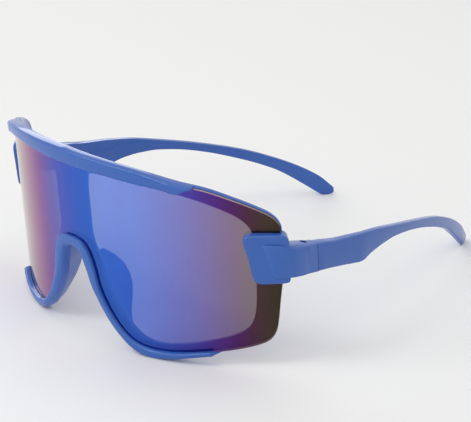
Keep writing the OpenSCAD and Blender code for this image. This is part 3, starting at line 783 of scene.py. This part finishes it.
def makeTemples():
    blade, tongue = templePoints(), tonguePoints()
    for side, name in ((1, "left"), (-1, "right")):
        turnOver = np.array([side, 1, 1])
        for title, (points, faces) in (("TempleBlade", blade), ("HingeTongue", tongue)):
            placed = (points + hinge) * turnOver
            piece = makePiece(name + title, name + "_temple", placed, faces, plastic)
            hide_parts("temple_" + name)


makeTemples()
print("temples made")


screwShape = {"head": 1.25, "shaft": 0.75, "top": 3.75, "headHigh": 0.8, "low": -5.4}


def makeScrews():
    # a profile turned about the hinge axis: domed head, shaft, small chamfer
    s = screwShape
    a = np.linspace(0, 2 * np.pi, 65)[:-1]
    head, shaft, end = s["head"], s["shaft"], s["low"] - s["top"]
    reach = np.array([0, 0.3, 0.6, 0.9, 1.1, head, head, shaft, shaft, shaft - 0.15, 0])
    height = s["top"] + np.array([0, 0, -0.01, -0.05, -0.12, -0.28, -s["headHigh"], -s["headHigh"],
                                  end + 0.15, end, end])
    x, y = reach[:, None] * np.cos(a), reach[:, None] * np.sin(a)
    rings = np.stack([x, y, height[:, None] + 0 * x], -1).transpose(1, 0, 2)
    rows, around = rings.shape[:2]
    i, j = np.arange(rows)[:, None] * around, np.arange(around - 1)[None, :]
    after = (i + around) % (rows * around)
    faces = np.stack([i + j, i + j + 1, after + j + 1, after + j], -1).reshape(-1, 4)
    for side, name in ((1, "left"), (-1, "right")):
        placed = (rings.reshape(-1, 3) + hinge) * np.array([side, 1, 1])
        piece = makePiece(name + "HingeScrew", "front", placed, faces, screwSteel, 40)
        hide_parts("hinge_screw_" + name)


makeScrews()
print("screws made")


stageSize = {"half": 3.0, "grey": (243, 243, 242)}


def floorMaterial():
    m = Maker("paleFloor")
    return m.finish(m.make("ShaderNodeBsdfDiffuse", {}, {"Color": linear(*stageSize["grey"])}))


def makeFloor():
    h = stageSize["half"]
    mesh = bpy.data.meshes.new("floor")
    mesh.from_pydata([(-h, -h, 0), (h, -h, 0), (h, h, 0), (-h, h, 0)], [], [(0, 1, 2, 3)])
    floor = bpy.data.objects.new("floor", mesh)
    scene.collection.objects.link(floor)
    mesh.materials.append(floorMaterial())


makeFloor()

target = (0, 0, 0.03)
lamps = [
    {"name": "overheadSoftbox", "place": (0.2, 0.1, 2.0), "look": (0, 0, 0), "size": (2.0, 2.0),
     "power": 5.5},
    {"name": "frontSoftbox", "place": (0.75, -0.95, 0.75), "look": target, "size": (0.8, 0.8), "power": 1.8},
    {"name": "leftSoftbox", "place": (-0.6, -1.1, 0.75), "look": target, "size": (0.8, 0.8), "power": 3.6},
    {"name": "rearSoftbox", "place": (-3.0, 1.1, 1.35), "look": target, "size": (3.0, 1.4), "power": 30.0},
    {"name": "stripLamp", "place": (-0.1, -0.75, 1.0), "look": target, "size": (0.5, 0.1), "power": 1.7},
]


def makeLamp(lamp):
    light = bpy.data.lights.new(lamp["name"], "AREA")
    light.shape = "RECTANGLE"
    light.size, light.size_y = lamp["size"]
    light.energy = lamp["power"]
    thing = bpy.data.objects.new(lamp["name"], light)
    thing.location = lamp["place"]
    thing.rotation_mode = "QUATERNION"
    aim = Vector(lamp["look"]) - Vector(lamp["place"])
    thing.rotation_quaternion = aim.to_track_quat("-Z", "Y")
    scene.collection.objects.link(thing)


for lamp in lamps:
    makeLamp(lamp)

studio = {"grey": (236, 236, 235), "light": 0.6}


def makeWorld():
    # the backdrop's grey to the eye, in reflections and through the lens, plain white light on the object
    m = Maker("studio", world=True)
    seen, mirrored, through = (m.make("ShaderNodeLightPath", {}, {}, "Is " + ray + " Ray")
                               for ray in ("Camera", "Glossy", "Transmission"))
    light = m.make("ShaderNodeBackground", {}, {0: (1, 1, 1, 1), 1: studio["light"]})
    backdrop = m.make("ShaderNodeBackground", {}, {0: linear(*studio["grey"]), 1: 1})
    kind = seen.larger(mirrored).larger(through)
    scene.world = m.finish(m.make("ShaderNodeMixShader", {}, {0: kind, 1: light, 2: backdrop}))


makeWorld()

shot = {"place": (0.50495, -0.46520, 0.29402), "turn": 47.638, "down": 21.339, "roll": -0.685, "lens": 146.05}


def makeCamera():
    data = bpy.data.cameras.new("camera")
    data.sensor_width = 36
    data.lens = shot["lens"]
    data.clip_start, data.clip_end = 0.05, 20
    camera = bpy.data.objects.new("camera", data)
    turn, down, roll = (math.radians(shot[k]) for k in ("turn", "down", "roll"))
    ahead = Vector((-math.sin(turn) * math.cos(down), math.cos(turn) * math.cos(down), -math.sin(down)))
    level = Vector((math.cos(turn), math.sin(turn), 0))
    up = level.cross(ahead)
    side = level * math.cos(roll) + up * math.sin(roll)
    top = up * math.cos(roll) - level * math.sin(roll)
    turnMatrix = Matrix((side, top, -ahead)).transposed().to_4x4()
    camera.matrix_world = Matrix.Translation(shot["place"]) @ turnMatrix
    scene.collection.objects.link(camera)
    scene.camera = camera


makeCamera()
print("stage ready")
